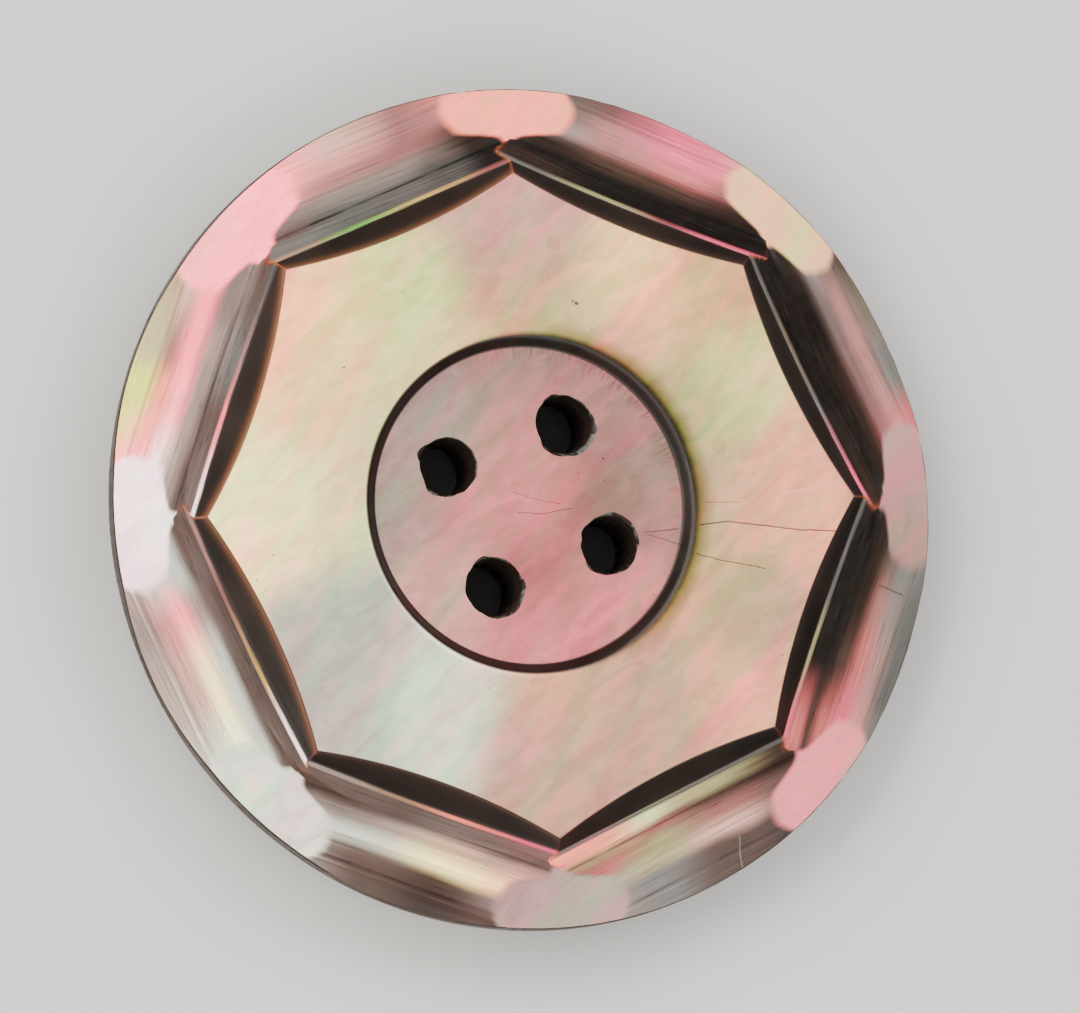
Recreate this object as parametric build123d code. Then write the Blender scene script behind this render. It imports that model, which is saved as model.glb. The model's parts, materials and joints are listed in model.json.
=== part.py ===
from build123d import *
import os

# A sew-through button carved from one piece of mother-of-pearl, in millimetres.
# The origin is the centre of the flat back, +Z points out of the carved front, and +X points
# at the first of the eight points of the front face.

# Blank, as turned on the lathe
rim_radius = 19.0
thickness = 4.0
face_edge_radius = 15.6  # where the flat face would meet the rim bevel
bevel_drop = 1.21  # from the face down to the rim edge
side_foot_z = 2.0  # the thin upright side ends here, and the back rolls in below it
back_flat_radius = 15.8
back_roll_bulge = 0.47  # how far the rolled back stands out from a straight chamfer

# Well round the thread holes
well_floor_radius = 7.16
well_depth = 0.5
well_wall_radius = 7.56  # top of the steep wall, where the softened lip begins
well_lip_radius = 7.76
well_lip_drop = 0.1

# Thread holes
hole_count = 4
hole_radius = 1.275
hole_circle_radius = 4.07
first_hole_angle = 62.5

# Wheel cuts round the rim, one between each two points of the face. Each is ground twice, with a
# narrow groove wheel and then a broad facet wheel, and both wheels turn about a radial axis.
# One row per cut: how far its index is off the even eighth turn, in degrees, and the radius that
# the groove wheel has worn to.
cuts = [
    (0.1, 36.0),
    (-0.6, 38.0),
    (-1.3, 32.0),
    (0.6, 31.0),
    (0.0, 34.0),
    (0.6, 33.0),
    (1.2, 35.0),
    (-0.7, 34.0),
]
facet_wheel_radius = 100.0
tool_overrun = 1.5  # how far the well cutter, drills and facet wheel reach past the surfaces
wheel_rise = 0.75  # how far above the face a wheel's profile begins

# Wheel profiles as (distance from the button's axis, depth below the face), taken where the wheel
# cuts deepest, halfway along the cut
groove_face_edge = (13.40, 0.0)
groove_bottom = (14.47, 0.963)
groove_flank_slope = 0.27
groove_nose_round = 0.25
facet_inner_corner = (15.50, 0.555)
facet_inner_wall_slope = 1.4
facet_land_end = (16.45, 0.575)
facet_crease = (18.10, 1.130)
facet_chamfer_slope = 0.52
facet_corner_rounds = [0.1, 1.5, 0.4]


def turned_blank():
    """The lathe-turned disc: flat back, rolled-in foot, upright edge, bevel and flat face."""
    rim_z = thickness - bevel_drop
    roll_start = Vector(back_flat_radius, 0)
    roll_end = Vector(rim_radius, side_foot_z)
    bulge_direction = Vector(1, -1).normalized()
    roll_middle = (roll_start + roll_end) / 2 + bulge_direction * back_roll_bulge
    with BuildPart() as blank:
        with BuildSketch(Plane.XZ):
            with BuildLine():
                Line((0, 0), roll_start)
                ThreePointArc(roll_start, roll_middle, roll_end)
                Line(roll_end, (rim_radius, rim_z))
                Line((rim_radius, rim_z), (face_edge_radius, thickness))
                Line((face_edge_radius, thickness), (0, thickness))
                Line((0, thickness), (0, 0))
            make_face()
        revolve(axis=Axis.Z)
    return blank.part


def well_cutter():
    """The sunken well: a flat floor, a steep wall and a softened lip."""
    floor_z = thickness - well_depth
    lip_slope = well_lip_drop / (well_lip_radius - well_wall_radius)
    top_z = thickness + tool_overrun
    with BuildPart() as well:
        with BuildSketch(Plane.XZ):
            with BuildLine():
                Polyline(
                    (0, floor_z),
                    (well_floor_radius, floor_z),
                    (well_wall_radius, thickness - well_lip_drop),
                    (well_lip_radius + tool_overrun / lip_slope, top_z),
                    (0, top_z),
                    (0, floor_z),
                )
            make_face()
        revolve(axis=Axis.Z)
    return well.part


def hole_drills():
    """The four thread holes, drilled square through the well's floor."""
    with BuildPart() as drills:
        with BuildSketch(Plane.XY.offset(-tool_overrun)):
            with PolarLocations(hole_circle_radius, hole_count, start_angle=first_hole_angle):
                Circle(hole_radius)
        extrude(amount=thickness + 2 * tool_overrun)
    return drills.part


def wheel(profile, corner_rounds, wheel_radius):
    """A grinding wheel on a radial axis, whose profile touches the face plane at wheel_radius."""
    axis_z = thickness + wheel_radius
    points = [(distance, thickness - depth) for distance, depth in profile]
    start, end = points[0], points[-1]
    with BuildPart() as tool:
        with BuildSketch(Plane.XZ):
            with BuildLine():
                FilletPolyline(*points, radius=corner_rounds)
                Polyline(end, (end[0], axis_z), (start[0], axis_z), start)
            make_face()
        revolve(axis=Axis((0, 0, axis_z), (1, 0, 0)))
    return tool.part


def groove_profile():
    """A narrow V: a steep wall on the face's side and a gentle flank on the rim's side."""
    wall_slope = (groove_bottom[1] - groove_face_edge[1]) / (groove_bottom[0] - groove_face_edge[0])
    return [
        (groove_face_edge[0] - wheel_rise / wall_slope, -wheel_rise),
        groove_bottom,
        (groove_bottom[0] + (groove_bottom[1] + wheel_rise) / groove_flank_slope, -wheel_rise),
    ]


def facet_profile():
    """A broad land, a slope down towards the rim and a steeper chamfer at the rim itself."""
    inner_reach = (facet_inner_corner[1] + wheel_rise) / facet_inner_wall_slope
    outer_end = rim_radius + tool_overrun
    return [
        (facet_inner_corner[0] - inner_reach, -wheel_rise),
        facet_inner_corner,
        facet_land_end,
        facet_crease,
        (outer_end, facet_crease[1] + facet_chamfer_slope * (outer_end - facet_crease[0])),
    ]


def carved_button():
    """The whole button, one solid."""
    button = turned_blank() - well_cutter() - hole_drills()
    facet_wheel = wheel(facet_profile(), facet_corner_rounds, facet_wheel_radius)
    step = 360 / len(cuts)
    for number, (index_error, groove_wheel_radius) in enumerate(cuts):
        turn = Rotation(0, 0, step * (number + 0.5) + index_error)
        button -= turn * wheel(groove_profile(), [groove_nose_round], groove_wheel_radius)
        button -= turn * facet_wheel
    return button


os.makedirs("parts", exist_ok=True)
button_body = carved_button()
export_step(button_body, "parts/button_body.step")
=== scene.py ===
import json
from math import cos, pi, radians, sin

import bpy
import numpy as np
from mathutils import Matrix, Vector
from mathutils.geometry import delaunay_2d_cdt


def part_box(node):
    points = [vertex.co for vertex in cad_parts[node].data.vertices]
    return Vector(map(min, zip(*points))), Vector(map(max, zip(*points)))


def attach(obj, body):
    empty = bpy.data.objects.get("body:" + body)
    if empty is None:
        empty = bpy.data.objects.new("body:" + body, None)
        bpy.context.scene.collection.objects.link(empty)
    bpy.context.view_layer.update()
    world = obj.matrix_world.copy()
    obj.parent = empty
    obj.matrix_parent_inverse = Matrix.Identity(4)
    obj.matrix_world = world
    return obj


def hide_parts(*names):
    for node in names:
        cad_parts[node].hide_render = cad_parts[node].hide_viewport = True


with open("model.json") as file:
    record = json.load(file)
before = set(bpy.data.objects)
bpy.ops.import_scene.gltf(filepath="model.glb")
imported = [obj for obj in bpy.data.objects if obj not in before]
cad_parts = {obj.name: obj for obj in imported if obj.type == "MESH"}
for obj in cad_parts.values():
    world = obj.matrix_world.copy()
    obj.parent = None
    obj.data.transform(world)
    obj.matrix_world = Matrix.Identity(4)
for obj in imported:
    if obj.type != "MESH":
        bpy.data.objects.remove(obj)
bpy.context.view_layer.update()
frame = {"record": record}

# A carved mother-of-pearl button, rebuilt as one closed high-detail mesh in place of its plain CAD
# solid. The frame is the CAD's: origin at the centre of the flat back, +Z out of the carved front,
# +X at the first point of the face. Lengths in this file are in millimetres until a mesh, light or
# camera is made, where METRE turns them into metres.
METRE = 0.001

LOW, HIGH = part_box("button_body")
RIM = (HIGH.x - LOW.x) / 2 / METRE
THICK = HIGH.z / METRE
HOLES = [m for m in frame["record"]["mounts"] if m["kind"] == "bore"]
HOLE_RADIUS = HOLES[0]["dims"]["r_mm"]
WELL_FLOOR = HOLES[0]["dims"]["length_mm"]
HOLE_CENTRES = [np.array(m["pos_m"][:2]) / METRE for m in HOLES]

# The first point of the face stands this many degrees above the picture's right
FIRST_POINT = 2.91

# The turned blank
BEVEL_START = 15.6
BEVEL_SLOPE = 0.355
SIDE_FOOT = 2.0
BACK_FLAT = 15.8
BACK_BULGE = 0.47
WELL_RADIUS = 7.16
WELL_WALL_TOP = 7.56
WELL_LIP = 7.80
WELL_LIP_DROP = 0.10

# The wheel cuts: a narrow groove beside the face, then a broad facet out to the rim
CUT_COUNT = 8
SECTOR = 360 / CUT_COUNT
INDEX_ERRORS = (0.1, -0.6, -1.3, 0.6, 0.0, 0.6, 1.2, -0.7)
DISTANCE_ERRORS = (0.005, 0.012, 0.037, -0.049, 0.005, -0.051, -0.009, 0.048)
GROOVE_WHEELS = (36.0, 38.0, 32.0, 31.0, 34.0, 33.0, 35.0, 34.0)
FACET_WHEEL = 100.0
EDGE = 13.40
WALL_SLOPE = 0.90
VALLEY = 14.47
VALLEY_DEPTH = 0.963
FLANK_SLOPE = 0.27
LAND = 15.50
LAND_DEPTH = 0.555
LAND_SLOPE = 0.02
LAND_WALL_SLOPE = 0.55
# Where the facet turns steeper towards the rim: distance, depth there and slope beyond
FACET_BENDS = ((16.45, 0.575, 0.310), (17.67, 0.953, 0.410), (18.10, 1.130, 0.520))
# How far the flank beside each point of the face was ground deeper on the side before it than on
# the side after it, which slants the ridge between two cuts
RIDGE_LEANS = (0.115, 0.107, -0.065, 0.003, 0.077, 0.015, 0.044, 0.034)

# The slanting starts this far along a cut from its middle, and grows over this much more of it
LEAN_START = 2.5
LEAN_SPAN = 3.3
LEAN_REACH = 1.2

# Widths over which one surface blends into the next, which rounds the arris between them
CUT_BLEND = 0.035
BEVEL_BLEND = 0.10
VALLEY_BLEND = 0.16
BEND_BLEND = 0.06
LAND_BLEND = 0.12
SHOULDER_BLEND = 0.09
SHOULDER_EXTRA_AT_ENDS = 0.15
LIP_BLEND = 0.06
WELL_FOOT_BLEND = 0.05
WELL_EDGE_BLEND = 0.04

# The cuts lie outside this radius and the well inside it
CUTS_AND_WELL_APART = 11
NO_CUT = -9.0
# Growth has left the face this much out of true
FACE_WAVES = 0.006


# ---------------- shape of the front

def ring_at(radius, angles):
    turn = np.radians(angles)
    return radius * np.cos(turn), radius * np.sin(turn)


def smooth_max(a, b, width):
    share = np.clip(0.5 + 0.5 * (a - b) / width, 0, 1)
    return b + (a - b) * share + width * share * (1 - share)


def smooth_min(a, b, width):
    return -smooth_max(-a, -b, width)


def smooth_step(value, low, high):
    share = np.clip((value - low) / (high - low), 0, 1)
    return share * share * (3 - 2 * share)


def value_noise(u, v, seed):
    """Smooth noise from -1 to 1 with one random value per unit cell, repeating after 256 cells."""
    table = np.random.default_rng(seed).uniform(-1, 1, (256, 256))
    iu, iv = np.floor(u).astype(int), np.floor(v).astype(int)
    fu, fv = u - iu, v - iv
    fu, fv = fu * fu * (3 - 2 * fu), fv * fv * (3 - 2 * fv)
    corner = [[table[(iu + i) % 256, (iv + j) % 256] for j in (0, 1)] for i in (0, 1)]
    low = corner[0][0] * (1 - fv) + corner[0][1] * fv
    high = corner[1][0] * (1 - fv) + corner[1][1] * fv
    return low * (1 - fu) + high * fu


def cut_angle(number):
    return SECTOR * (number + 0.5) + INDEX_ERRORS[number]


def cut_coordinates(x, y, number):
    """Along and across a cut: across is the distance from the button's axis."""
    angle = radians(cut_angle(number))
    across = x * cos(angle) + y * sin(angle) - DISTANCE_ERRORS[number]
    along = y * cos(angle) - x * sin(angle)
    return along, across


def groove_depth(along, across, number):
    """Depth of the V groove, and how far its flank takes over from its wall."""
    wall = WALL_SLOPE * (across - EDGE)
    flank = VALLEY_DEPTH - FLANK_SLOPE * (across - VALLEY)
    towards_end = np.clip((np.abs(along) - LEAN_START) / LEAN_SPAN, 0, 1) ** 2
    lean = towards_end * np.clip(across - VALLEY, 0, LEAN_REACH)
    before, after = RIDGE_LEANS[number], RIDGE_LEANS[(number + 1) % CUT_COUNT]
    flank = flank + lean * np.where(along < 0, before, -after)
    rise = along**2 / (2 * GROOVE_WHEELS[number])
    return smooth_min(wall, flank, VALLEY_BLEND) - rise, wall - flank


def facet_depth(along, across):
    depth = LAND_DEPTH + LAND_SLOPE * (across - LAND)
    for distance, drop, slope in FACET_BENDS:
        depth = smooth_max(depth, drop + slope * (across - distance), BEND_BLEND)
    inner = LAND_DEPTH - LAND_WALL_SLOPE * (LAND - across)
    return smooth_min(depth, inner, LAND_BLEND) - along**2 / (2 * FACET_WHEEL)


def grinding_lines(along, across, number):
    """Fine ridges that the wheel leaves along a cut, in millimetres of depth."""
    coarse = value_noise(across / 0.34, along / 9 + 31 * number, 5)
    fine = value_noise(across / 0.17, along / 5 + 17 * number, 6)
    patch = 0.55 + 0.45 * value_noise(across / 1.3, along / 3.5 + 11 * number, 7)
    return (0.0045 * coarse + 0.003 * fine) * patch


def well_depth(radius):
    """Depth of the well's floor, of its steep wall and of the lip where the wall meets the face."""
    floor_depth = THICK - WELL_FLOOR
    rise = (radius - WELL_RADIUS) / (WELL_WALL_TOP - WELL_RADIUS)
    wall = floor_depth - (floor_depth - WELL_LIP_DROP) * rise
    lip = WELL_LIP_DROP * (WELL_LIP - radius) / (WELL_LIP - WELL_WALL_TOP)
    sides = smooth_max(wall, lip, LIP_BLEND)
    return smooth_min(np.full_like(radius, floor_depth), sides, WELL_FOOT_BLEND)


def front(x, y):
    """Depth below the face plane at points of the front, and the leads of its surfaces.

    The leads, which tell the surfaces apart, are how far the deepest cut lies below the uncut
    front, its groove below its facet and its flank below its wall, then the distance across
    that cut, how far it lies below the next cut, and its number.
    """
    radius = np.hypot(x, y)
    uncut = smooth_max(np.zeros_like(x), BEVEL_SLOPE * (radius - BEVEL_START), BEVEL_BLEND)
    uncut = uncut + FACE_WAVES * value_noise(x / 3.1 + 40, y / 3.1 + 40, 3)
    depth = uncut
    second = np.full_like(x, NO_CUT)
    first = [np.full_like(x, value) for value in (NO_CUT, -1.0, -1.0, -99.0, 0.0)]
    for number in range(CUT_COUNT):
        along, across = cut_coordinates(x, y, number)
        groove, side = groove_depth(along, across, number)
        land = facet_depth(along, across)
        lines = grinding_lines(along, across, number)
        at_ends = smooth_step(np.abs(along), 3.5, 5.8)
        softness = SHOULDER_BLEND + SHOULDER_EXTRA_AT_ENDS * at_ends
        near = across > CUTS_AND_WELL_APART
        cut = smooth_max(groove + 0.5 * lines, land + lines, softness)
        cut = np.where(near, cut, NO_CUT)
        depth = np.where(near, smooth_max(depth, cut, CUT_BLEND), depth)
        ahead = cut > first[0]
        second = np.where(ahead, first[0], np.maximum(second, cut))
        found = (cut, groove - land, side, across, number)
        first = [np.where(ahead, new, old) for new, old in zip(found, first)]
    sunk = smooth_max(depth, well_depth(radius), WELL_EDGE_BLEND)
    depth = np.where(radius < CUTS_AND_WELL_APART, sunk, depth)
    deepest, groove_lead, flank_lead, across, owner = first
    leads = [np.clip(lead, -1, 1) for lead in (deepest - uncut, groove_lead, flank_lead)]
    leads += [across, deepest - second, owner]
    return np.maximum(depth, 0), np.column_stack(leads)


# ---------------- colours of the nacre

# Reflectances, in thousandths, of the colours that the nacre's thin layers give, from dark to pale;
# the darkest also serve as painted shade and the palest as painted sheen
PALETTE = {
    "smoke": (7, 5, 4), "umber": (18, 10, 7), "brown": (42, 24, 17),
    "taupe": (70, 44, 36), "slate": (70, 62, 55), "cocoa": (90, 40, 34),
    "fog": (94, 86, 76), "drab": (100, 74, 50), "stone": (145, 108, 92),
    "russet": (165, 55, 53), "dusk": (165, 40, 40), "dusty": (205, 80, 68),
    "ochre": (225, 130, 70), "ash": (240, 170, 140), "mauve": (240, 115, 102),
    "moss": (230, 200, 92), "green": (100, 250, 40), "coral": (330, 75, 70),
    "mist": (330, 310, 250), "sand": (370, 220, 140), "blossom": (420, 220, 170),
    "lime": (350, 400, 40), "straw": (410, 270, 75), "rose": (440, 140, 130),
    "silver": (440, 440, 360), "magenta": (480, 60, 110), "honey": (460, 280, 120),
    "cream": (480, 460, 210), "mint": (530, 590, 420), "frost": (560, 580, 460),
    "butter": (580, 500, 180), "peach": (670, 150, 100), "apricot": (700, 260, 160),
    "ivory": (980, 760, 320), "blush": (980, 480, 200), "pearl": (980, 980, 560),
    "pink": (1000, 140, 175), "petal": (980, 200, 220), "white": (1000, 780, 760),
}

# Where each colour lies on the face, as angle in degrees and radius, and in the well
FACE_COLOURS = (
    (8.6, "sand moss sand honey butter cream cream mist mint honey sand honey"),
    (10.6, "apricot butter blush sand butter blush ivory mist mint blossom sand sand"),
    (12.6, "apricot honey blossom blush ivory mist sand apricot"),
)
WELL_COLOURS = (
    (0.0, "rose"),
    (2.9, "dusty rose rose dusty"),
    (5.7, "mauve mauve mauve ash ash blossom rose rose"),
)
# Colours of the pads at the eight points; the petal, white and frost of the fourth to sixth points
# are partly the nacre's own colour and partly painted sheen
PAD_COLOURS = "mauve honey peach petal white frost ash rose"

# Each cut's colours from its left end to its right, seen with the rim uppermost, at rising
# distances from the axis. Beside the nacre's own colours they hold painted shade, in the near-black
# smoke and umber of flanks and facets where the nacre reflects no light, and painted sheen, in the
# white, pearl, ivory and silver of the cuts at the left. The first row is the painted highlight
# along the bottom of the groove.
COLUMN_SPACING = 3.2
ROW_DISTANCES = (14.90, 15.35, 16.0, 16.8, 17.5, 18.4)
CUT_COLOURS = (
    ("slate drab fog magenta", "smoke smoke smoke umber", "smoke smoke smoke smoke",
     "umber smoke umber umber", "stone taupe cocoa dusk", "taupe dusty dusty coral",
     "brown drab fog coral"),
    ("slate moss dusk magenta", "umber smoke smoke smoke", "smoke smoke smoke smoke",
     "umber brown brown umber", "stone dusty coral cocoa", "taupe dusty magenta coral",
     "taupe cocoa magenta rose"),
    ("ochre green straw dusk", "fog slate slate smoke", "taupe slate slate smoke",
     "stone stone stone umber", "rose dusty russet brown", "pink rose russet dusty",
     "pink blossom russet coral"),
    ("white pink mauve slate", "taupe taupe fog taupe", "taupe taupe stone stone",
     "ash ash ash stone", "white petal pink pink", "petal peach dusty blossom",
     "petal lime moss ochre"),
    ("white straw dusty mauve", "brown brown brown taupe", "taupe brown taupe taupe",
     "silver silver ash silver", "pearl ivory petal silver", "mint blossom rose silver",
     "mist ash stone ash"),
    ("magenta peach ochre ash", "cocoa taupe brown brown", "taupe taupe brown brown",
     "blossom sand ash stone", "blush ivory silver silver", "stone brown taupe stone",
     "brown umber brown stone"),
    ("slate slate slate slate", "umber moss cream peach", "umber brown dusk ochre",
     "taupe dusty moss coral", "brown blossom moss ash", "umber brown fog stone",
     "smoke brown fog stone"),
    ("slate fog moss magenta", "smoke smoke smoke coral", "smoke smoke smoke brown",
     "umber umber brown coral", "taupe dusty coral magenta", "fog stone mauve rose",
     "fog slate slate stone"),
)
# How strongly each cut's face edge and each point's ridge glow amber, painted glow that stands for
# light leaking through
EDGE_GLOW = (0.0, 0.15, 0.75, 1.0, 0.8, 0.15, 0.0, 0.0)
RIDGE_GLOW = (0.8, 0.15, 1.0, 1.0, 0.9, 0.2, 0.1, 0.35)
PAINTED_GLOW_AMBER = np.array((0.080, 0.030, 0.012))
PAINTED_GLOW_EMBER = np.array((0.160, 0.040, 0.014))
# How far down from the face the painted glow reaches, and how far it leads one cut over the next
GLOW_DEPTH = 0.15
RIDGE_WIDTH = 0.036
# Spread of the colour patches on the face and in the well
FACE_SPREAD = 1.5
WELL_SPREAD = 1.4
# Direction in which the painted shade of the well's wall spreads softly onto the face, and the tint
# of that painted shade on the face beside it
SHADED_SIDE = radians(12)
WELL_SHADE_TINT = (0.72, 0.74, 0.40)
# How strong three lines are on each cut: dark above the groove, dark and pale along the crease
LINES = {
    "shoulder_line": (0.0, 0.2, 0.85, 0.55, 0.1, 0.3, 0.5, 0.0),
    "crease_dark": (0.35, 0.35, 0.3, 0.45, 0.45, 0.8, 0.75, 0.35),
    "crease_pale": (0.1, 0.2, 0.1, 0.1, 0.7, 0.7, 0.5, 0.15),
}


def words_to_colours(words):
    return np.array([PALETTE[word] for word in words.split()]) / 1000


def blend_patches(x, y, rings, spread):
    """Blends patches of colour that lie evenly round rings, the first of each at +X."""
    total, weight = np.zeros((len(x), 3)), np.zeros(len(x))
    for radius, words in rings:
        patches = words_to_colours(words)
        for number, colour in enumerate(patches):
            px, py = ring_at(radius, number * 360 / len(patches))
            share = np.exp(-((x - px) ** 2 + (y - py) ** 2) / (2 * spread**2)) + 1e-12
            total += share[:, None] * colour
            weight += share
    return total / weight[:, None]


def sheet_colour(sheet, row, column):
    """Blends the colours of a sheet at fractional rows and columns."""
    i = np.clip(np.floor(row).astype(int), 0, sheet.shape[0] - 2)
    j = np.clip(np.floor(column).astype(int), 0, sheet.shape[1] - 2)
    down, right = smooth_step(row - i, 0, 1)[:, None], smooth_step(column - j, 0, 1)[:, None]
    upper = sheet[i, j] * (1 - right) + sheet[i, j + 1] * right
    lower = sheet[i + 1, j] * (1 - right) + sheet[i + 1, j + 1] * right
    return upper * (1 - down) + lower * down


def blend(first, second, share):
    share = share[:, None]
    return first * (1 - share) + second * share


def plain_colour(x, y, point, radius, turn):
    """Colour of the face, the pads and the well, with painted shade on the well's steep wall and,
    on one side, on the face beside it.
    """
    plain = blend_patches(x, y, FACE_COLOURS, FACE_SPREAD)
    pads = words_to_colours(PAD_COLOURS)[point]
    plain = blend(plain, pads, smooth_step(radius, 14.6, 15.4))
    well = blend_patches(x, y, WELL_COLOURS, WELL_SPREAD)
    plain = blend(well, plain, smooth_step(radius, 7.1, 7.5))
    # Painted shade: the well's steep wall is dark, and on the shaded side the shade spreads softly
    # and olive onto the face
    side = np.cos(turn - SHADED_SIDE)
    softness = 0.08 + 0.42 * smooth_step(side, -0.3, 1)
    ring = smooth_step(radius, 7.10, 7.17) * (1 - smooth_step(radius, 7.60, 7.66 + softness))
    well_shade = smooth_step(radius, 7.5, 7.7) * (1 - smooth_step(radius, 7.8, 8.5))
    plain = blend(plain, plain * WELL_SHADE_TINT, well_shade * smooth_step(side, -0.1, 0.9))
    return blend(plain, words_to_colours("umber") * 0.5, ring)


def nacre_fields(points, across, ridge_lead, owner):
    """Colours and line strengths at every vertex, for the surfaces that the material tells apart,
    with painted shade on the groove walls and painted amber glow at their edges and ridges.

    The last three arguments are the distance across the deepest cut at each vertex, how far that
    cut lies below the next one, and its number.
    """
    x, y, z = points.T
    radius, turn = np.hypot(x, y), np.arctan2(y, x)
    point = np.round(np.degrees(turn) / SECTOR).astype(int) % CUT_COUNT
    nearest = owner.astype(int)
    along = np.array([cut_coordinates(x, y, n)[0] for n in range(CUT_COUNT)])
    along = along[nearest, np.arange(len(x))]

    wander = value_noise(x / 1.9 + 90, y / 1.9 + 90, 31)
    row = np.interp(across + 0.10 * wander, ROW_DISTANCES, range(len(ROW_DISTANCES)))
    column = np.clip(1.5 - (along + 0.8 * wander) / COLUMN_SPACING, 0, 3)
    cut, valley = np.zeros((len(x), 3)), np.zeros((len(x), 3))
    for number, rows in enumerate(CUT_COLOURS):
        own = nearest == number
        sheet = np.array([words_to_colours(words) for words in rows])
        cut[own] = sheet_colour(sheet[1:], row[own], column[own])
        # The first row of each sheet gives the painted highlight along the groove's bottom
        valley[own] = sheet_colour(sheet, 0 * row[own], column[own])
    # Painted glow along the ridges between cuts, standing for light that leaks through the thin
    # nacre
    ridge = np.exp(-((ridge_lead / RIDGE_WIDTH) ** 2))
    glowing = ridge * np.array(RIDGE_GLOW)[point]
    cut = blend(cut, PAINTED_GLOW_EMBER, glowing * (1 - smooth_step(across, 14.8, 15.3)))
    valley = blend(valley, 1.5 * PAINTED_GLOW_EMBER, ridge)

    # Groove walls: near-black umber, painted shade where the steep nacre reflects no light
    wall = words_to_colours("umber") * (0.55 + 0.25 * wander[:, None])
    # Painted amber glow near the top of each wall, standing for light that leaks through
    glow = np.array(EDGE_GLOW)[nearest] * np.exp(-(((THICK - z) / GLOW_DEPTH) ** 2))
    wall = blend(wall, PAINTED_GLOW_AMBER, glow)
    wall = blend(wall, PAINTED_GLOW_EMBER, glowing)

    plain = plain_colour(x, y, point, radius, turn)
    fields = {"plain": plain, "cut": cut, "wall": wall, "valley": valley}
    for name, strengths in LINES.items():
        fields[name] = np.array(strengths)[nearest]
    return fields


# ---------------- mesh of the whole button

# Materials of the mesh, and the number of vertices in its rings
NACRE, BORE, BACK = 0, 1, 2
COLUMNS = 864
FACE_COLUMNS = COLUMNS // 2
HOLE_COLUMNS = 72
# Radii of the rings on the well's wall and lip, and shares of the way from there to the cuts
WELL_RINGS = (7.10, 7.16, 7.22, 7.30, 7.38, 7.46, 7.52, 7.57, 7.63, 7.70, 7.78, 7.88)
FACE_RINGS = (0.12, 0.28, 0.45, 0.62, 0.8, 1.0)
# Insets and drops of the rings that round the rim's arris
ARRIS_RINGS = ((0.025, 0.018), (0.006, 0.05), (0.0, 0.10))
# Spacing of the vertices on the well's floor and on the back
WELL_SPACING = 0.45
BACK_SPACING = 0.9
# Small chips in the rim: angle and width in degrees, depth in millimetres
NICKS = (
    (151.0, 1.1, 0.14), (148.6, 0.5, 0.10), (264.5, 0.8, 0.12), (7.5, 0.5, 0.07),
    (318.0, 0.4, 0.06), (95.0, 0.4, 0.05), (223.0, 0.6, 0.06),
)
# Leads of a vertex that no cut reaches, in the order that front() gives them
UNCUT_LEADS = (-1.0, -1.0, -1.0, 0.0, 9.0, 0.0)


def added(name, data):
    """A new object in the scene."""
    thing = bpy.data.objects.new(name, data)
    bpy.context.scene.collection.objects.link(thing)
    return thing


def column_angles(count):
    """Angles round the button in degrees, closer together at the points of the face."""
    turn = np.arange(count) / count * CUT_COUNT
    return SECTOR * (turn - 0.5 * np.sin(2 * pi * turn) / (2 * pi))


def nearest_cut(radius_of):
    """The smallest of a curve's radii over the cuts, at each column angle."""
    return lambda angles: np.min([radius_of(angles, n) for n in range(CUT_COUNT)], axis=0)


def from_cut(angles, number):
    """Angle from the middle of a cut, or 60 degrees where the cut doesn't reach."""
    turn = np.radians(angles - cut_angle(number))
    return np.where(np.cos(turn) > 0.5, turn, radians(60))


@nearest_cut
def edge_radius(angles, number):
    """Where the groove's wall meets the face."""
    turn = from_cut(angles, number)
    edge = EDGE + DISTANCE_ERRORS[number]
    radius = edge / np.cos(turn)
    for _ in range(20):
        rise = (radius * np.sin(turn)) ** 2 / (2 * GROOVE_WHEELS[number])
        radius = np.minimum((edge + rise / WALL_SLOPE) / np.cos(turn), RIM)
    return radius


@nearest_cut
def valley_radius(angles, number):
    return (VALLEY + DISTANCE_ERRORS[number]) / np.cos(from_cut(angles, number))


@nearest_cut
def shoulder_radius(angles, number):
    """Where the groove's flank meets the facet's land."""
    turn = from_cut(angles, number)
    along = LAND * np.tan(turn)
    gap = along**2 / 2 * (1 / GROOVE_WHEELS[number] - 1 / FACET_WHEEL)
    across = VALLEY + (VALLEY_DEPTH - LAND_DEPTH - gap) / FLANK_SLOPE
    return np.clip(across, LAND, None) / np.cos(turn)


def bend_radius(distance, limit):
    curve = nearest_cut(lambda angles, number: distance / np.cos(from_cut(angles, number)))
    return lambda angles: np.minimum(curve(angles), limit)


def ring_radii(angles):
    """Radii of the front's rings outside the face, one row per ring, at each column.

    The rings follow the cuts' edges, bottoms, shoulders and bends, and each stop below names how
    many steps lead from it to the next one.
    """
    edge, valley = edge_radius(angles), valley_radius(angles)
    shoulder = np.maximum(shoulder_radius(angles), valley + 0.45)
    first_bend = np.maximum(bend_radius(FACET_BENDS[1][0], 18.05)(angles), shoulder + 0.5)
    second_bend = np.maximum(bend_radius(FACET_BENDS[2][0], 18.45)(angles), first_bend + 0.2)
    stops = [
        (edge - 0.30, 1), (edge - 0.09, 1), (edge - 0.035, 1), (edge, 1), (edge + 0.035, 1),
        (edge + 0.09, 9), (valley - 0.12, 4), (valley, 4), (valley + 0.12, 10),
        (shoulder - 0.10, 2), (shoulder, 3), (shoulder + 0.14, 14),
        (first_bend - 0.06, 2), (first_bend + 0.06, 4), (second_bend - 0.06, 2),
        (second_bend + 0.06, 7), (np.full_like(edge, RIM - 0.06), 0),
    ]
    rows = []
    for (start, steps), (end, _) in zip(stops, stops[1:]):
        rows += [start + (end - start) * i / steps for i in range(steps)]
    return rows + [stops[-1][0]]


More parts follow.
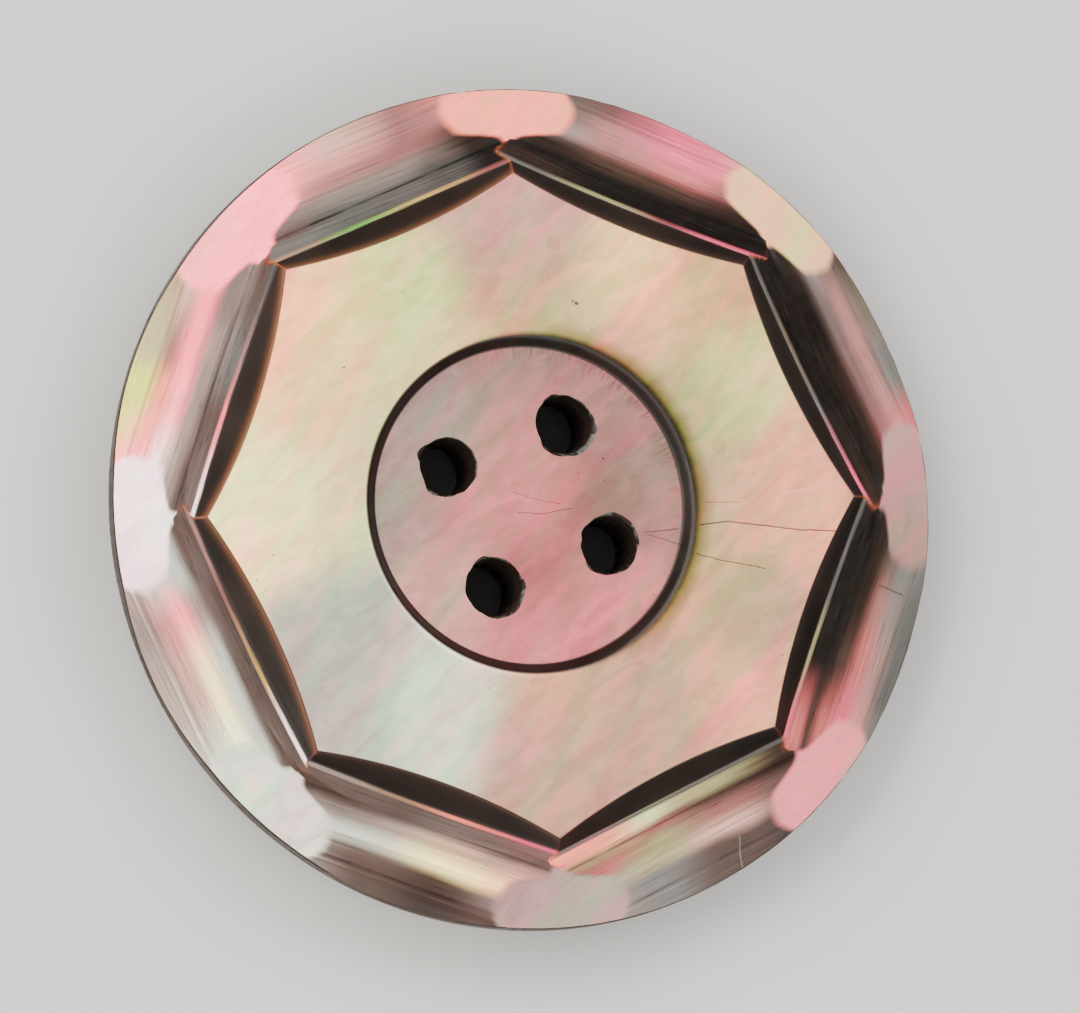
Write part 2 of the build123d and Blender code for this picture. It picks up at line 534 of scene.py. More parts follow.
def rim_nicks(angles):
    """How far small chips bite into the rim, in millimetres."""
    bite = np.zeros_like(angles)
    for angle, width, deep in NICKS:
        off = (angles - angle + 180) % 360 - 180
        bite = np.maximum(bite, deep * np.exp(-((off / width) ** 2)))
    return bite + 0.008 * (1 + value_noise(angles / 1.7, np.zeros_like(angles), 9))


class Shell:
    """Collects the rings of one closed mesh, its faces and the leads of its vertices."""

    def __init__(self):
        self.points = []
        self.leads = []
        self.faces = []
        self.materials = []
        self.count = 0

    def ring(self, x, y, z, leads=None):
        """Adds a ring of points and returns their indices."""
        self.points.append(np.column_stack([x, y, z]))
        self.leads.append(np.tile(UNCUT_LEADS, (len(x), 1)) if leads is None else leads)
        start = self.count
        self.count += len(x)
        return np.arange(start, self.count)

    def front_ring(self, radius, angles):
        x, y = ring_at(radius, angles)
        depth, leads = front(x, y)
        return self.ring(x, y, THICK - depth, leads)

    def face(self, corners, material):
        self.faces.append([int(c) for c in corners])
        self.materials.append(material)

    def strip(self, inner, outer, material, flipped=False):
        """Joins two rings; the outer one has as many points as the inner, or twice as many."""
        count = len(inner)
        for i in range(count):
            a, b = inner[i], inner[(i + 1) % count]
            if len(outer) == count:
                faces = [(a, outer[i], outer[(i + 1) % count], b)]
            else:
                c, d, e = outer[2 * i], outer[2 * i + 1], outer[(2 * i + 2) % len(outer)]
                faces = [(a, c, d), (a, d, b), (b, d, e)]
            for corners in faces:
                self.face(corners[::-1] if flipped else corners, material)

    def plate(self, outline, holes, spacing, upward, material, height):
        """Fills a flat round plate between its outline and its holes."""
        points = np.vstack(self.points)
        loops = [outline, *holes]
        flat = [points[loop][:, :2] for loop in loops]
        edges, start = [], 0
        for loop in flat:
            count = len(loop)
            edges += [(start + i, start + (i + 1) % count) for i in range(count)]
            start += count

        # Points inside the plate, staggered in rows and clear of its edges
        reach = np.hypot(*flat[0].T).min() - 0.6 * spacing
        grid = np.arange(-reach, reach, spacing)
        gx, gy = np.meshgrid(grid, grid)
        gx = gx + np.where(np.arange(len(grid))[:, None] % 2, 0.5 * spacing, 0)
        inside = np.hypot(gx, gy) < reach
        for centre in HOLE_CENTRES:
            inside &= np.hypot(gx - centre[0], gy - centre[1]) > HOLE_RADIUS + 0.55
        filler = np.column_stack([gx[inside], gy[inside]])
        fill = self.ring(filler[:, 0], filler[:, 1], np.full(len(filler), height))
        everything = np.vstack([*flat, filler])
        index = np.concatenate([*loops, fill])
        corners = [Vector(p) for p in everything]
        _, _, triangles, source, _, _ = delaunay_2d_cdt(corners, edges, [], 0, 1e-6)

        # Every triangle but those that would close a hole
        for triangle in triangles:
            own = [source[c][0] for c in triangle]
            middle = everything[own].mean(axis=0)
            if min(np.hypot(*(middle - c)) for c in HOLE_CENTRES) < HOLE_RADIUS - 0.1:
                continue
            if any(all(index[c] in set(hole) for c in own) for hole in holes):
                continue
            turned = [index[c] for c in own]
            self.face(turned if upward else turned[::-1], material)

    @staticmethod
    def sharpen(mesh):
        """Keeps the shading apart where two materials meet, as round a hole's mouth."""
        used = [set() for _ in mesh.edges]
        for polygon in mesh.polygons:
            for loop in polygon.loop_indices:
                used[mesh.loops[loop].edge_index].add(polygon.material_index)
        layer = mesh.attributes.new("sharp_edge", "BOOLEAN", "EDGE")
        layer.data.foreach_set("value", [len(materials) > 1 for materials in used])

    def build(self, name):
        mesh = bpy.data.meshes.new(name)
        mesh.from_pydata((np.vstack(self.points) * METRE).tolist(), [], self.faces)
        mesh.polygons.foreach_set("material_index", self.materials)
        mesh.polygons.foreach_set("use_smooth", [True] * len(self.faces))
        leads = np.vstack(self.leads).T
        fields = nacre_fields(np.vstack(self.points), *leads[3:])
        fields.update(zip(("cut_lead", "groove_lead", "flank_lead", "across"), leads))
        for attribute, values in fields.items():
            if values.ndim == 2:  # a colour
                layer = mesh.attributes.new(attribute, "FLOAT_COLOR", "POINT")
                opaque = np.column_stack([values, np.ones(len(values))])
                layer.data.foreach_set("color", opaque.astype(np.float32).ravel())
            else:
                layer = mesh.attributes.new(attribute, "FLOAT", "POINT")
                layer.data.foreach_set("value", values.astype(np.float32))
        mesh.validate()
        mesh.update()
        self.sharpen(mesh)
        return added(name, mesh)


def hole_mouth(number, angles):
    """Radius of a hole's chipped mouth."""
    chips = np.clip(value_noise(angles / 38, np.full_like(angles, 7.0 * number), 21), 0, 1)
    fine = value_noise(angles / 13, np.full_like(angles, 5.0 * number), 22)
    return HOLE_RADIUS + 0.05 + 0.24 * chips + 0.03 * fine


def well_and_face(shell, angles):
    """Rings from the well's wall to just inside the cuts; returns the first and the last."""
    radii = [np.full_like(angles, radius) for radius in WELL_RINGS]
    reach = edge_radius(angles) - 0.75 - WELL_RINGS[-1]
    radii += [WELL_RINGS[-1] + reach * share for share in FACE_RINGS]
    rings = [shell.front_ring(radius, angles) for radius in radii]
    for a, b in zip(rings, rings[1:]):
        shell.strip(a, b, NACRE)
    return rings[0], rings[-1]


def side_and_back(shell, rim, fine, coarse):
    """Rings from the rim down the side to the flat back; returns the last, at half the columns."""
    bite = rim_nicks(fine)
    top = np.vstack(shell.points)[rim][:, 2]
    levels = [(RIM - inset - bite, top - drop - 0.5 * bite) for inset, drop in ARRIS_RINGS]
    foot = top - ARRIS_RINGS[-1][1]
    for share in (0.3, 0.65, 1.0):
        levels.append((RIM - bite * (1 - share), foot - (foot - SIDE_FOOT) * share))
    levels += [(radius, np.full_like(fine, height)) for radius, height in back_roll(9)]
    last = rim
    for radius, height in levels:
        ring = shell.ring(*ring_at(radius, fine), height)
        shell.strip(last, ring, BACK)
        last = ring

    back = shell.ring(*ring_at(BACK_FLAT - 0.4, coarse), np.zeros_like(coarse))
    shell.strip(back, last, BACK, flipped=True)
    return back


def thread_hole(shell, number, angles):
    """One hole with its chipped mouth; returns its first and last ring."""
    mouth = hole_mouth(number, angles)
    bore = HOLE_RADIUS + 0.02 * value_noise(angles / 9, np.full_like(angles, 3.0 * number), 23)
    levels = [
        (mouth, WELL_FLOOR),
        (mouth - 0.03, WELL_FLOOR - 0.035),
        (0.45 * mouth + 0.55 * bore, WELL_FLOOR - 0.12),
        (bore + 0.015, WELL_FLOOR - 0.30),
    ]
    levels += [(bore, WELL_FLOOR * share) for share in (0.75, 0.55, 0.35, 0.15)]
    levels += [(bore + 0.02, 0.06), (bore + 0.07, 0.0)]
    centre = HOLE_CENTRES[number]
    rings = []
    for radius, height in levels:
        x, y = ring_at(radius, angles)
        rings.append(shell.ring(centre[0] + x, centre[1] + y, np.full_like(x, height)))
    for upper, lower in zip(rings, rings[1:]):
        shell.strip(lower, upper, BORE)
    return rings[0], rings[-1]


def button_mesh():
    shell = Shell()
    fine, coarse = column_angles(COLUMNS), column_angles(FACE_COLUMNS)
    well, face = well_and_face(shell, coarse)
    outer = [shell.front_ring(radius, fine) for radius in ring_radii(fine)]
    for a, b in zip([face, *outer], outer):
        shell.strip(a, b, NACRE)
    back = side_and_back(shell, outer[-1], fine, coarse)
    steps = np.arange(HOLE_COLUMNS) / HOLE_COLUMNS * 360
    holes = [thread_hole(shell, number, steps) for number in range(len(HOLE_CENTRES))]
    mouths, feet = zip(*holes)
    shell.plate(well, mouths, WELL_SPACING, True, NACRE, WELL_FLOOR)
    shell.plate(back, feet, BACK_SPACING, False, BACK, 0.0)
    return shell.build("button_shell")


def back_roll(count):
    """Radius and height along the arc that rolls the side into the flat back."""
    foot, back = np.array([RIM, SIDE_FOOT]), np.array([BACK_FLAT, 0.0])
    chord = back - foot
    half = np.hypot(*chord) / 2
    bulge_radius = (half**2 + BACK_BULGE**2) / (2 * BACK_BULGE)
    outward = np.array([1, -1]) / np.sqrt(2)
    centre = (foot + back) / 2 + outward * (BACK_BULGE - bulge_radius)
    start = np.arctan2(*(foot - centre)[::-1])
    end = np.arctan2(*(back - centre)[::-1])
    for share in np.linspace(0, 1, count + 1)[1:]:
        angle = start + (end - start) * share
        yield centre[0] + bulge_radius * cos(angle), max(centre[1] + bulge_radius * sin(angle), 0.0)


# ---------------- materials

class Graph:
    """Short names for adding shader nodes; every argument may be a number or a socket."""

    def __init__(self, name):
        self.material = bpy.data.materials.new(name)
        self.material.use_nodes = True
        self.nodes = self.material.node_tree.nodes
        self.links = self.material.node_tree.links
        self.shader = self.nodes["Principled BSDF"]
        coordinates = self.nodes.new("ShaderNodeTexCoord").outputs["Object"]
        self.place = self.vector("SCALE", coordinates, scale=1 / METRE)
        self.flat = self.tint(self.place, (1, 1, 0))

    def put(self, socket, value):
        """Feeds a socket from another one, or sets it to a number, a vector or a colour."""
        if isinstance(value, bpy.types.NodeSocket):
            self.links.new(value, socket)
        elif isinstance(value, (int, float)) or len(value) == len(socket.default_value):
            socket.default_value = value
        else:
            socket.default_value = (*value, 1.0)

    def node(self, kind, *values, **settings):
        """A new node with these settings, whose first sockets take these values."""
        node = self.nodes.new("ShaderNode" + kind)
        for name, setting in settings.items():
            setattr(node, name, setting)
        for socket, value in zip(node.inputs, values):
            self.put(socket, value)
        return node

    def math(self, operation, *values, clamp=False):
        return self.node("Math", *values, operation=operation, use_clamp=clamp).outputs[0]

    def vector(self, operation, first, second=(0, 0, 0), scale=1.0):
        node = self.node("VectorMath", first, second, operation=operation)
        if operation == "SCALE":
            self.put(node.inputs["Scale"], scale)
        return node.outputs["Value" if operation in ("LENGTH", "DOT_PRODUCT") else "Vector"]

    def times(self, first, second):
        return self.math("MULTIPLY", first, second)

    def plus(self, first, second, clamp=False):
        return self.math("ADD", first, second, clamp=clamp)

    def minus(self, first, second, clamp=False):
        return self.math("SUBTRACT", first, second, clamp=clamp)

    def apart(self, first, second):
        return self.math("ABSOLUTE", self.minus(first, second))

    def bright(self, colour, factor):
        return self.vector("SCALE", colour, scale=factor)

    def tint(self, colour, factors):
        return self.vector("MULTIPLY", colour, factors)

    def lift(self, colour, amounts):
        return self.vector("ADD", colour, amounts)

    def split(self):
        """X, Y and Z of the place."""
        return self.node("SeparateXYZ", self.place).outputs[:]

    def attribute(self, name, output="Fac"):
        return self.node("Attribute", attribute_name=name).outputs[output]

    def noise(self, place, scale, detail=2.0, roughness=0.5, distortion=0.0):
        node = self.node("TexNoise", place)
        names = ("Scale", "Detail", "Roughness", "Distortion")
        for name, value in zip(names, (scale, detail, roughness, distortion)):
            self.put(node.inputs[name], value)
        return node.outputs["Fac"]

    def turned(self, degrees_, stretch):
        """The place turned about Z so that X runs at this angle, then stretched."""
        node = self.node("VectorRotate", self.place, rotation_type="Z_AXIS")
        node.inputs["Angle"].default_value = radians(-degrees_)
        return self.tint(node.outputs[0], stretch)

    def step(self, value, low, high, start=0.0, end=1.0):
        """Goes smoothly from start to end as the value goes from low to high."""
        numbers = value, low, high, start, end
        return self.node("MapRange", *numbers, interpolation_type="SMOOTHSTEP").outputs[0]

    def mix(self, share, first, second):
        node = self.node("Mix", share, data_type="RGBA", clamp_factor=True)
        self.put(node.inputs[6], first)
        self.put(node.inputs[7], second)
        return node.outputs[2]

    def swing(self, noise, amount):
        """A factor about 1 that follows a noise."""
        return self.math("MULTIPLY_ADD", self.minus(noise, 0.5), amount, 1.0)

    def stroke(self, place, line, width):
        """1 on a thin line through the points of a polyline, 0 away from it."""
        total = None
        for start, end in zip(line, line[1:]):
            ahead = np.subtract(end, start)
            from_start = self.vector("SUBTRACT", place, (*start, 0.0))
            along = self.vector("DOT_PRODUCT", from_start, (*ahead, 0.0))
            share = self.math("DIVIDE", along, float(ahead @ ahead), clamp=True)
            foot = self.vector("SCALE", (*ahead, 0.0), scale=share)
            off = self.vector("LENGTH", self.vector("SUBTRACT", from_start, foot))
            mark = self.step(off, 0.3 * width, width, 1.0, 0.0)
            total = mark if total is None else self.math("MAXIMUM", total, mark)
        return total

    def finish(self, colour, roughness, height, distance, metallic, specular, coat):
        """Joins the shader's sockets; the distance is the height of the relief in millimetres."""
        bump = self.node("Bump")
        self.put(bump.inputs["Distance"], distance * METRE)
        self.put(bump.inputs["Height"], height)
        for name, value in (
            ("Base Color", colour),
            ("Roughness", roughness),
            ("Normal", bump.outputs[0]),
            ("Metallic", metallic),
            ("Specular IOR Level", specular),
            ("Coat Weight", coat),
            ("Coat Roughness", 0.12),
        ):
            self.put(self.shader.inputs[name], value)
        return self.material


# Lines along the cuts: attribute with their strength, distance across, reach and change of colour
GROUND_LINES = (
    ("shoulder_line", LAND - 0.12, 0.09, (0.12, 0.11, 0.11)),
    ("crease_dark", 18.02, 0.10, (0.30, 0.24, 0.24)),
    ("crease_pale", 18.22, 0.07, (1.9, 1.9, 1.9)),
)
# Hairline cracks and scratches: width, strength and the points of each line
CRACKS = (
    (0.060, 0.85, ((7.8, -1.2), (9.1, -1.1), (10.5, -1.3), (12.5, -1.6), (14.1, -1.7))),
    (0.055, 0.75, ((7.5, -2.5), (8.5, -2.8), (10.7, -3.3))),
    (0.050, 0.55, ((8.1, -0.2), (9.7, -0.25))),
    (0.045, 0.80, ((5.3, -1.4), (6.9, -1.3))),
    (0.040, 0.70, ((5.4, -1.5), (6.9, -2.0))),
    (0.040, 0.55, ((-0.7, 0.6), (0.5, 0.2), (1.5, 0.0))),
    (0.042, 0.70, ((-0.5, -0.3), (0.6, -0.4), (2.0, -0.2))),
    (0.030, 0.40, ((1.3, 0.8), (1.4, 0.0))),
    (0.030, 0.40, ((-1.4, 1.9), (-0.6, 2.0))),
    (0.050, 0.70, ((17.4, -4.6), (16.2, -4.2))),
)
SCRATCHES = (
    (0.040, 0.30, ((9.1, -16.6), (8.95, -15.9), (8.9, -15.2))),
    (0.030, 0.35, ((11.8, 0.1), (14.0, 0.4))),
    (0.028, 0.30, ((2.2, 9.4), (2.7, 8.3))),
    (0.028, 0.30, ((10.9, -5.1), (11.3, -6.4))),
    (0.028, 0.30, ((-7.6, -4.1), (-9.4, -5.2))),
    (0.028, 0.25, ((-5.5, -8.1), (-6.3, -9.6))),
)
# Pits and stains: X, Y and radius
PITS = (
    (2.7, 9.0, 0.13), (2.55, 9.1, 0.08), (3.6, 2.0, 0.07), (-8.3, 6.4, 0.07), (-12.1, -1.9, 0.06),
)
STAINS = ((1.8, 11.7, 0.26), (8.9, 2.3, 0.28))


def cut_surfaces(g):
    """Shares of the uncut face, the facets, the grooves' flanks and their walls, and of any cut."""
    groove = g.step(g.attribute("groove_lead"), -0.02, 0.02)
    on_flank = g.step(g.attribute("flank_lead"), -0.05, 0.05)
    lead = g.math("MULTIPLY_ADD", groove, 0.05, g.attribute("cut_lead"))
    carved = g.step(lead, -0.032, 0.042)
    grooved = g.times(carved, groove)
    facet = g.times(carved, g.minus(1.0, groove))
    wall = g.times(grooved, g.minus(1.0, on_flank))
    return g.minus(1.0, carved), facet, g.times(grooved, on_flank), wall, carved


def growth_layers(g, colour, plain):
    """Streaks of the growth layers, shifting between rose and green."""
    broad = g.noise(g.turned(52, (0.075, 0.34, 0.3)), 1.0, 3.0, 0.55, 0.5)
    narrow = g.noise(g.turned(47, (0.16, 1.0, 0.5)), 1.0, 4.0, 0.6, 0.8)
    layers = g.plus(g.times(broad, 0.55), g.times(narrow, 0.45))
    rosy = g.tint(colour, (1.22, 0.80, 1.0))
    green = g.tint(colour, (0.82, 1.18, 0.95))
    tinted = g.mix(g.step(layers, 0.36, 0.64), rosy, green)
    return g.mix(g.math("MULTIPLY_ADD", plain, 0.65, 0.25), colour, tinted)


def wrinkles(g, colour, plain):
    """Fine wrinkles of the layers on the flat face and the pads, with painted highlight on their
    crests and painted shade in their troughs; also returns their relief.
    """
    wrinkle = g.noise(g.turned(38, (0.40, 1.15, 1.0)), 1.0, 3.0, 0.52, 0.9)
    crinkle = g.noise(g.turned(25, (1.3, 2.4, 1.0)), 1.0, 2.0, 0.5, 1.0)
    relief = g.plus(wrinkle, g.times(crinkle, 0.35))
    # Painted shade and highlight: the colour follows the same relief that the bump uses, rosier on
    # the crests
    shade = g.step(relief, 0.48, 0.88, 0.90, 1.09)
    colour = g.bright(colour, g.math("MULTIPLY_ADD", g.minus(shade, 1.0), plain, 1.0))
    pink_highlight = g.tint(colour, (1.14, 0.90, 0.96))
    return g.mix(g.times(g.step(wrinkle, 0.52, 0.72), plain), colour, pink_highlight), relief


def grinding_marks(g, colour, strength, lines, threads):
    """Marks along the cuts: soft lines, dark threads and pale threads."""
    swing = g.times(g.minus(lines, 0.5), 1.5)
    factor = g.math("MULTIPLY_ADD", swing, strength, 1.0)
    colour = g.bright(colour, g.math("MAXIMUM", factor, 0.25))
    dark = g.times(g.step(threads, 0.60, 0.70), g.times(strength, 0.45))
    colour = g.bright(colour, g.minus(1.0, dark, clamp=True))
    pale = g.times(g.step(threads, 0.40, 0.32), g.times(strength, 0.35))
    return g.mix(pale, colour, g.lift(colour, (0.022, 0.020, 0.018)))


def drawn_lines(g, colour, across, threads, patches, grooved, carved):
    """The painted highlight along the bottom of each groove, and the lines on its shoulder and
    crease.
    """
    across = g.plus(across, g.times(g.minus(threads, 0.5), 0.12))
    # Painted highlight along the bottom of each groove, broken by the threads
    off = g.apart(across, VALLEY + 0.06)
    streaky = g.bright(g.attribute("valley", "Color"), g.swing(threads, 1.6))
    colour = g.mix(g.times(g.step(off, 0.02, 0.14, 0.95, 0.0), grooved), colour, streaky)
    for name, distance, reach, change in GROUND_LINES:
        off = g.apart(across, distance)
        share = g.times(g.step(off, 0.2 * reach, reach, 1.0, 0.0), g.attribute(name))
        share = g.times(share, carved)
        broken = g.times(share, g.step(patches, 0.30, 0.50, 0.35, 1.0))
        colour = g.mix(broken, colour, g.tint(colour, change))
    return colour


def tool_marks(g, colour):
    """Radial marks of the tool at the edge of the well's floor."""
    x, y, _ = g.split()
    turn = g.math("ARCTAN2", y, x)
    radius = g.vector("LENGTH", g.flat)
    spokes = g.node("CombineXYZ", g.times(turn, 42.0), g.times(radius, 0.7))
    teeth = g.step(g.noise(spokes.outputs[0], 1.0, 2.0, 0.6), 0.48, 0.66)
    band = g.times(g.step(radius, 6.25, 7.05), g.step(radius, 7.16, 7.12))
    arc = g.step(g.math("COSINE", g.minus(turn, radians(52))), 0.45, 0.9, 0.12, 0.6)
    scored = g.times(g.times(teeth, band), arc)
    return g.mix(scored, colour, g.tint(colour, (0.35, 0.30, 0.30)))


def wear(g, colour):
    """Cracks, scratches, pits and stains; also returns how deep the cracks and pits are."""
    sway = g.noise(g.place, 1.7, 2.0)
    swayed = g.lift(g.flat, g.tint(g.bright((1, 1, 0), sway), (0.10, 0.10, 0)))
    swayed = g.vector("SUBTRACT", swayed, (0.05, 0.05, 0))

    def away(x, y):
        return g.vector("LENGTH", g.vector("SUBTRACT", swayed, (x, y, 0)))

    hollow = 0.0
    for width, share, line in CRACKS:
        mark = g.times(g.stroke(swayed, line, width), share)
        colour = g.mix(mark, colour, g.tint(colour, (0.16, 0.10, 0.10)))
        hollow = g.math("MAXIMUM", hollow, mark)
    for width, share, line in SCRATCHES:
        mark = g.times(g.stroke(swayed, line, width), share)
        colour = g.mix(mark, colour, g.lift(colour, (0.25, 0.23, 0.2)))
    for x, y, size in PITS:
        mark = g.step(away(x, y), 0.5 * size, size, 0.85, 0.0)
        colour = g.mix(mark, colour, (0.03, 0.015, 0.012))
        hollow = g.math("MAXIMUM", hollow, mark)
    for x, y, size in STAINS:
        inside = g.step(away(x, y), size, size + 0.12, 0.25, 0.0)
        border = g.step(g.apart(away(x, y), size), 0.0, 0.07, 0.35, 0.0)
        stain = g.math("MAXIMUM", inside, border)
        colour = g.mix(stain, colour, g.tint(colour, (0.55, 0.50, 0.45)))
    return colour, hollow


def specks(g, colour, plain):
    """Rare dark dots on the uncut surfaces."""
    cells = g.node("TexVoronoi", g.flat)
    cells.inputs["Scale"].default_value = 0.8
    chance = g.node("SeparateColor", cells.outputs["Color"])
    dot = g.step(cells.outputs["Distance"], 0.03, 0.055, 0.7, 0.0)
    dot = g.times(g.times(dot, g.step(chance.outputs[0], 0.60, 0.62)), plain)
    return g.mix(dot, colour, g.tint(colour, (0.40, 0.25, 0.25)))


def nacre_material():
    """The carved front: colours from the mesh, which hold painted shade, sheen, highlight and glow,
    with the marks of growth, grinding and wear.
    """
    g = Graph("carved_nacre")
    across = g.attribute("across")
    plain, facet, flank, wall, carved = cut_surfaces(g)
    colour = g.mix(carved, g.attribute("plain", "Color"), g.attribute("cut", "Color"))
    colour = g.mix(wall, colour, g.attribute("wall", "Color"))
    colour = growth_layers(g, colour, plain)
    colour, relief = wrinkles(g, colour, plain)

    # Noise drawn out along the cuts
    marks = g.node("CombineXYZ", g.times(across, 8.5))
    drawn = g.lift(marks.outputs[0], g.tint(g.place, (0.22, 0.22, 0)))
    lines = g.noise(drawn, 1.0, 4.0, 0.72)
    threads = g.noise(drawn, 3.1, 2.0, 0.6)
    patches = g.noise(g.place, 0.55, 1.0)
    strength = g.times(g.plus(facet, g.times(flank, 1.5)), g.step(patches, 0.35, 0.65, 0.45, 1.25))
    colour = grinding_marks(g, colour, strength, lines, threads)
    grooved = g.plus(wall, flank, clamp=True)
    colour = drawn_lines(g, colour, across, threads, patches, grooved, carved)

    colour = tool_marks(g, colour)
    colour, hollow = wear(g, colour)
    colour = specks(g, colour, plain)
    grain = g.noise(g.place, 9.0, 3.0, 0.6)
    colour = g.bright(colour, g.swing(grain, 0.10))

    height = g.times(relief, g.times(plain, 0.50))
    height = g.plus(height, g.times(g.times(lines, carved), 0.60))
    height = g.plus(height, g.times(grain, 0.03))
    height = g.minus(height, g.times(hollow, 0.8))
    roughness = g.math("MULTIPLY_ADD", g.minus(relief, 0.68), 0.35, 0.34)
    roughness = g.plus(roughness, g.times(g.minus(lines, 0.5), 0.2))
    roughness = g.plus(roughness, g.times(carved, 0.06), clamp=True)
    return g.finish(colour, roughness, height, 0.02, metallic=0.30, specular=0.10, coat=0.08)


def bore_material():
    """Drilled walls: painted near black as shade down the holes, with greyish glassy chips at the
    mouth.
    """
    g = Graph("drilled_nacre")
    z = g.split()[2]
    chips = g.noise(g.place, 1.6, 3.0, 0.6, 0.6)
    rings = g.noise(g.tint(g.place, (0.5, 0.5, 5.0)), 1.0, 3.0, 0.6)
    top = g.step(z, WELL_FLOOR - 0.30, WELL_FLOOR - 0.03)
    # Near-black colour of the bore: painted shade
    colour = g.mix(g.step(rings, 0.35, 0.7), (0.006, 0.004, 0.003), (0.016, 0.009, 0.006))
    glassy = g.times(top, g.step(chips, 0.46, 0.62))
    colour = g.mix(glassy, colour, (0.085, 0.080, 0.070))
    rough = g.step(chips, 0.3, 0.7, 0.42, 0.20)
    height = g.plus(chips, rings)
    return g.finish(colour, rough, height, 0.05, metallic=0.0, specular=0.3, coat=0.15)


def back_material():
    """The turned side and back: smoky shell with growth bands, and thin layers along the side."""
    g = Graph("smoky_shell")
    z = g.split()[2]
    radius = g.vector("LENGTH", g.flat)
    bands = g.noise(g.turned(128, (0.32, 0.045, 0.2)), 1.0, 5.0, 0.62, 0.6)
    wisps = g.noise(g.turned(120, (1.3, 0.16, 0.5)), 1.0, 3.0, 0.6, 1.0)
    mottle = g.noise(g.place, 0.45, 3.0, 0.55)
    colour = g.mix(g.step(bands, 0.34, 0.66), (0.075, 0.052, 0.040), (0.300, 0.255, 0.200))
    lustre = g.mix(g.step(mottle, 0.40, 0.60), (1.25, 0.86, 0.95), (0.86, 1.12, 0.90))
    colour = g.mix(0.8, colour, g.tint(colour, lustre))
    colour = g.bright(colour, g.swing(wisps, 0.9))
    brown = g.step(g.noise(g.place, 0.13, 2.0, 0.5), 0.50, 0.66)
    colour = g.mix(g.times(brown, 0.8), colour, (0.050, 0.026, 0.014))
    layers = g.noise(g.tint(g.place, (0.10, 0.10, 5.5)), 1.0, 4.0, 0.7)
    edge = g.mix(g.step(layers, 0.36, 0.66), (0.012, 0.007, 0.005), (0.060, 0.038, 0.028))
    beside = g.times(g.step(radius, RIM - 0.7, RIM - 0.1), g.step(z, 0.7, 1.6))
    colour = g.mix(beside, colour, edge)
    arris = g.times(g.step(z, 2.4, 2.75), beside)
    colour = g.mix(g.times(arris, 0.6), colour, (0.016, 0.009, 0.007))
    grain = g.noise(g.place, 7.0, 3.0, 0.6)
    colour = g.bright(colour, g.swing(grain, 0.16))
    turned = g.noise(g.times(radius, 3.0), 1.0, 3.0, 0.7)
    height = g.plus(g.times(wisps, 0.4), g.times(layers, 0.5))
    height = g.plus(height, g.times(turned, 0.3))
    rough = g.step(g.plus(wisps, grain), 0.8, 1.2, 0.32, 0.48)
    return g.finish(colour, rough, height, 0.02, metallic=0.25, specular=0.12, coat=0.08)


button = button_mesh()
for material in (nacre_material(), bore_material(), back_material()):
    button.data.materials.append(material)
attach(button, "root")
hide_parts("button_body")

# ---------------- floor, lights and camera

FLOOR_GAP = 0.05
bpy.ops.mesh.primitive_plane_add(size=3.0, location=(0, 0, LOW.z - FLOOR_GAP * METRE))
floor = bpy.context.object
floor.name = "floor"
floor_material = bpy.data.materials.new("pale_floor")
floor_material.use_nodes = True
shader = floor_material.node_tree.nodes["Principled BSDF"]
shader.inputs["Base Color"].default_value = (0.36, 0.35, 0.33, 1)
shader.inputs["Roughness"].default_value = 0.8
floor.data.materials.append(floor_material)

# The studio's ceiling is dark, so that the thread holes stay dark to their bottoms: the strength
# of the light falls from the first number to the second as the direction's Z rises
SKY_STRENGTHS = (0.50, 0.03)
SKY_HEIGHTS = (0.45, 0.75)
world = bpy.data.worlds.new("studio")
bpy.context.scene.world = world
world.use_nodes = True
sky = world.node_tree
background = sky.nodes["Background"]
background.inputs["Color"].default_value = (0.9, 0.95, 1.0, 1)
direction = sky.nodes.new("ShaderNodeTexCoord")
upward = sky.nodes.new("ShaderNodeSeparateXYZ")
ceiling = sky.nodes.new("ShaderNodeMapRange")
for socket, number in zip(ceiling.inputs[1:], (*SKY_HEIGHTS, *SKY_STRENGTHS)):
    socket.default_value = number
sky.links.new(direction.outputs["Generated"], upward.inputs[0])
sky.links.new(upward.outputs["Z"], ceiling.inputs[0])
sky.links.new(ceiling.outputs[0], background.inputs["Strength"])

# Camera: tilted 17.4 degrees off the button's axis, towards the lower left of the picture. The
# first point of the face stands 2.9 degrees above the picture's right.
VIEW_TILT = radians(17.36)
VIEW_SIDE = 25.0
DISTANCE = 500.0
FRAME_WIDTH = 48.44
SENSOR = 36.0
AIM = Vector((0, 0, 2.6))
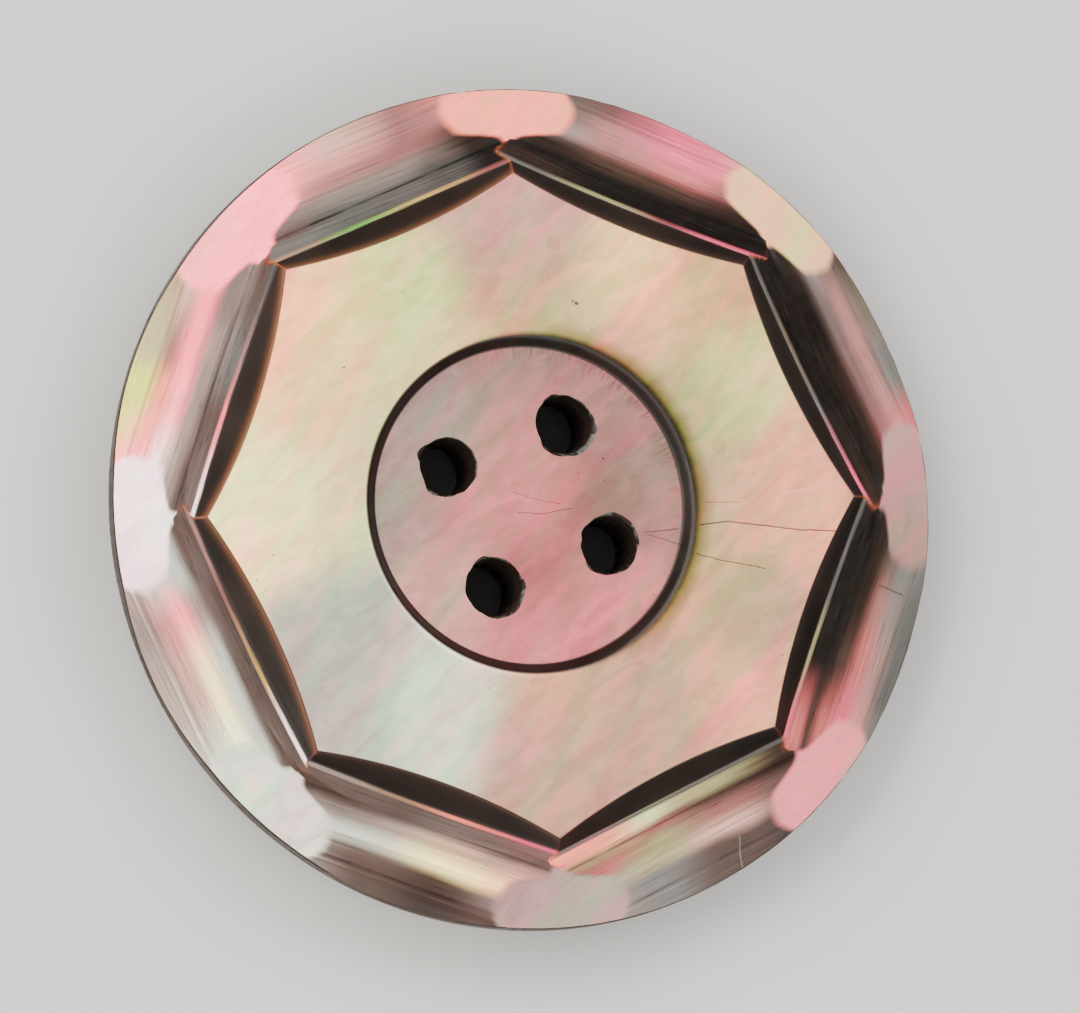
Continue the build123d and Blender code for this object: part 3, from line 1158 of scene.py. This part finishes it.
# How far the camera is moved sideways and up from the line through the point it aims at
SHIFT = (0.731, 0.058)


def camera_axes():
    side = radians(VIEW_SIDE - FIRST_POINT)
    away = Vector((cos(side), sin(side), 0))
    level = Vector((-sin(side), cos(side), 0))
    up = Vector((0, 0, 1))
    back = up * cos(VIEW_TILT) - away * sin(VIEW_TILT)
    rising = away * cos(VIEW_TILT) + up * sin(VIEW_TILT)
    turn = radians(VIEW_SIDE)
    right = rising * cos(turn) - level * sin(turn)
    top = rising * sin(turn) + level * cos(turn)
    return right, top, back


def add_camera():
    right, top, back = camera_axes()
    place = AIM + right * SHIFT[0] + top * SHIFT[1] + back * DISTANCE
    data = bpy.data.cameras.new("camera")
    data.sensor_width = SENSOR
    data.lens = SENSOR * DISTANCE / FRAME_WIDTH
    data.clip_start = 0.01
    camera = added("camera", data)
    rotation = Matrix((right, top, back)).transposed().to_4x4()
    camera.matrix_world = Matrix.Translation(place * METRE) @ rotation
    bpy.context.scene.camera = camera


LAMP_DISTANCE = 0.6


def add_light(name, azimuth, elevation, width, height, watts, colour):
    """A wide low lamp that faces the button; azimuth is counted in the picture, from its right."""
    turn, rise = radians(azimuth - FIRST_POINT), radians(elevation)
    direction = Vector((cos(rise) * cos(turn), cos(rise) * sin(turn), sin(rise)))
    data = bpy.data.lights.new(name, "AREA")
    data.shape = "RECTANGLE"
    data.size, data.size_y = width, height
    data.energy = watts
    data.color = colour
    lamp = added(name, data)
    lamp.location = direction * LAMP_DISTANCE
    lamp.rotation_euler = direction.to_track_quat("Z", "Y").to_euler()


add_camera()
# Lamps stay low, so that none shines down the thread holes: azimuth and elevation in degrees,
# width and height in metres, watts and colour
for name, *lamp in (
    ("key", 145, 40, 0.85, 0.32, 10.4, (1.0, 0.98, 0.95)),
    ("left", 225, 38, 0.80, 0.30, 6.0, (1.0, 0.99, 0.97)),
    ("right", 50, 38, 0.80, 0.30, 6.0, (0.97, 0.98, 1.0)),
    ("low", 310, 38, 0.80, 0.30, 4.9, (0.97, 0.98, 1.0)),
):
    add_light(name, *lamp)
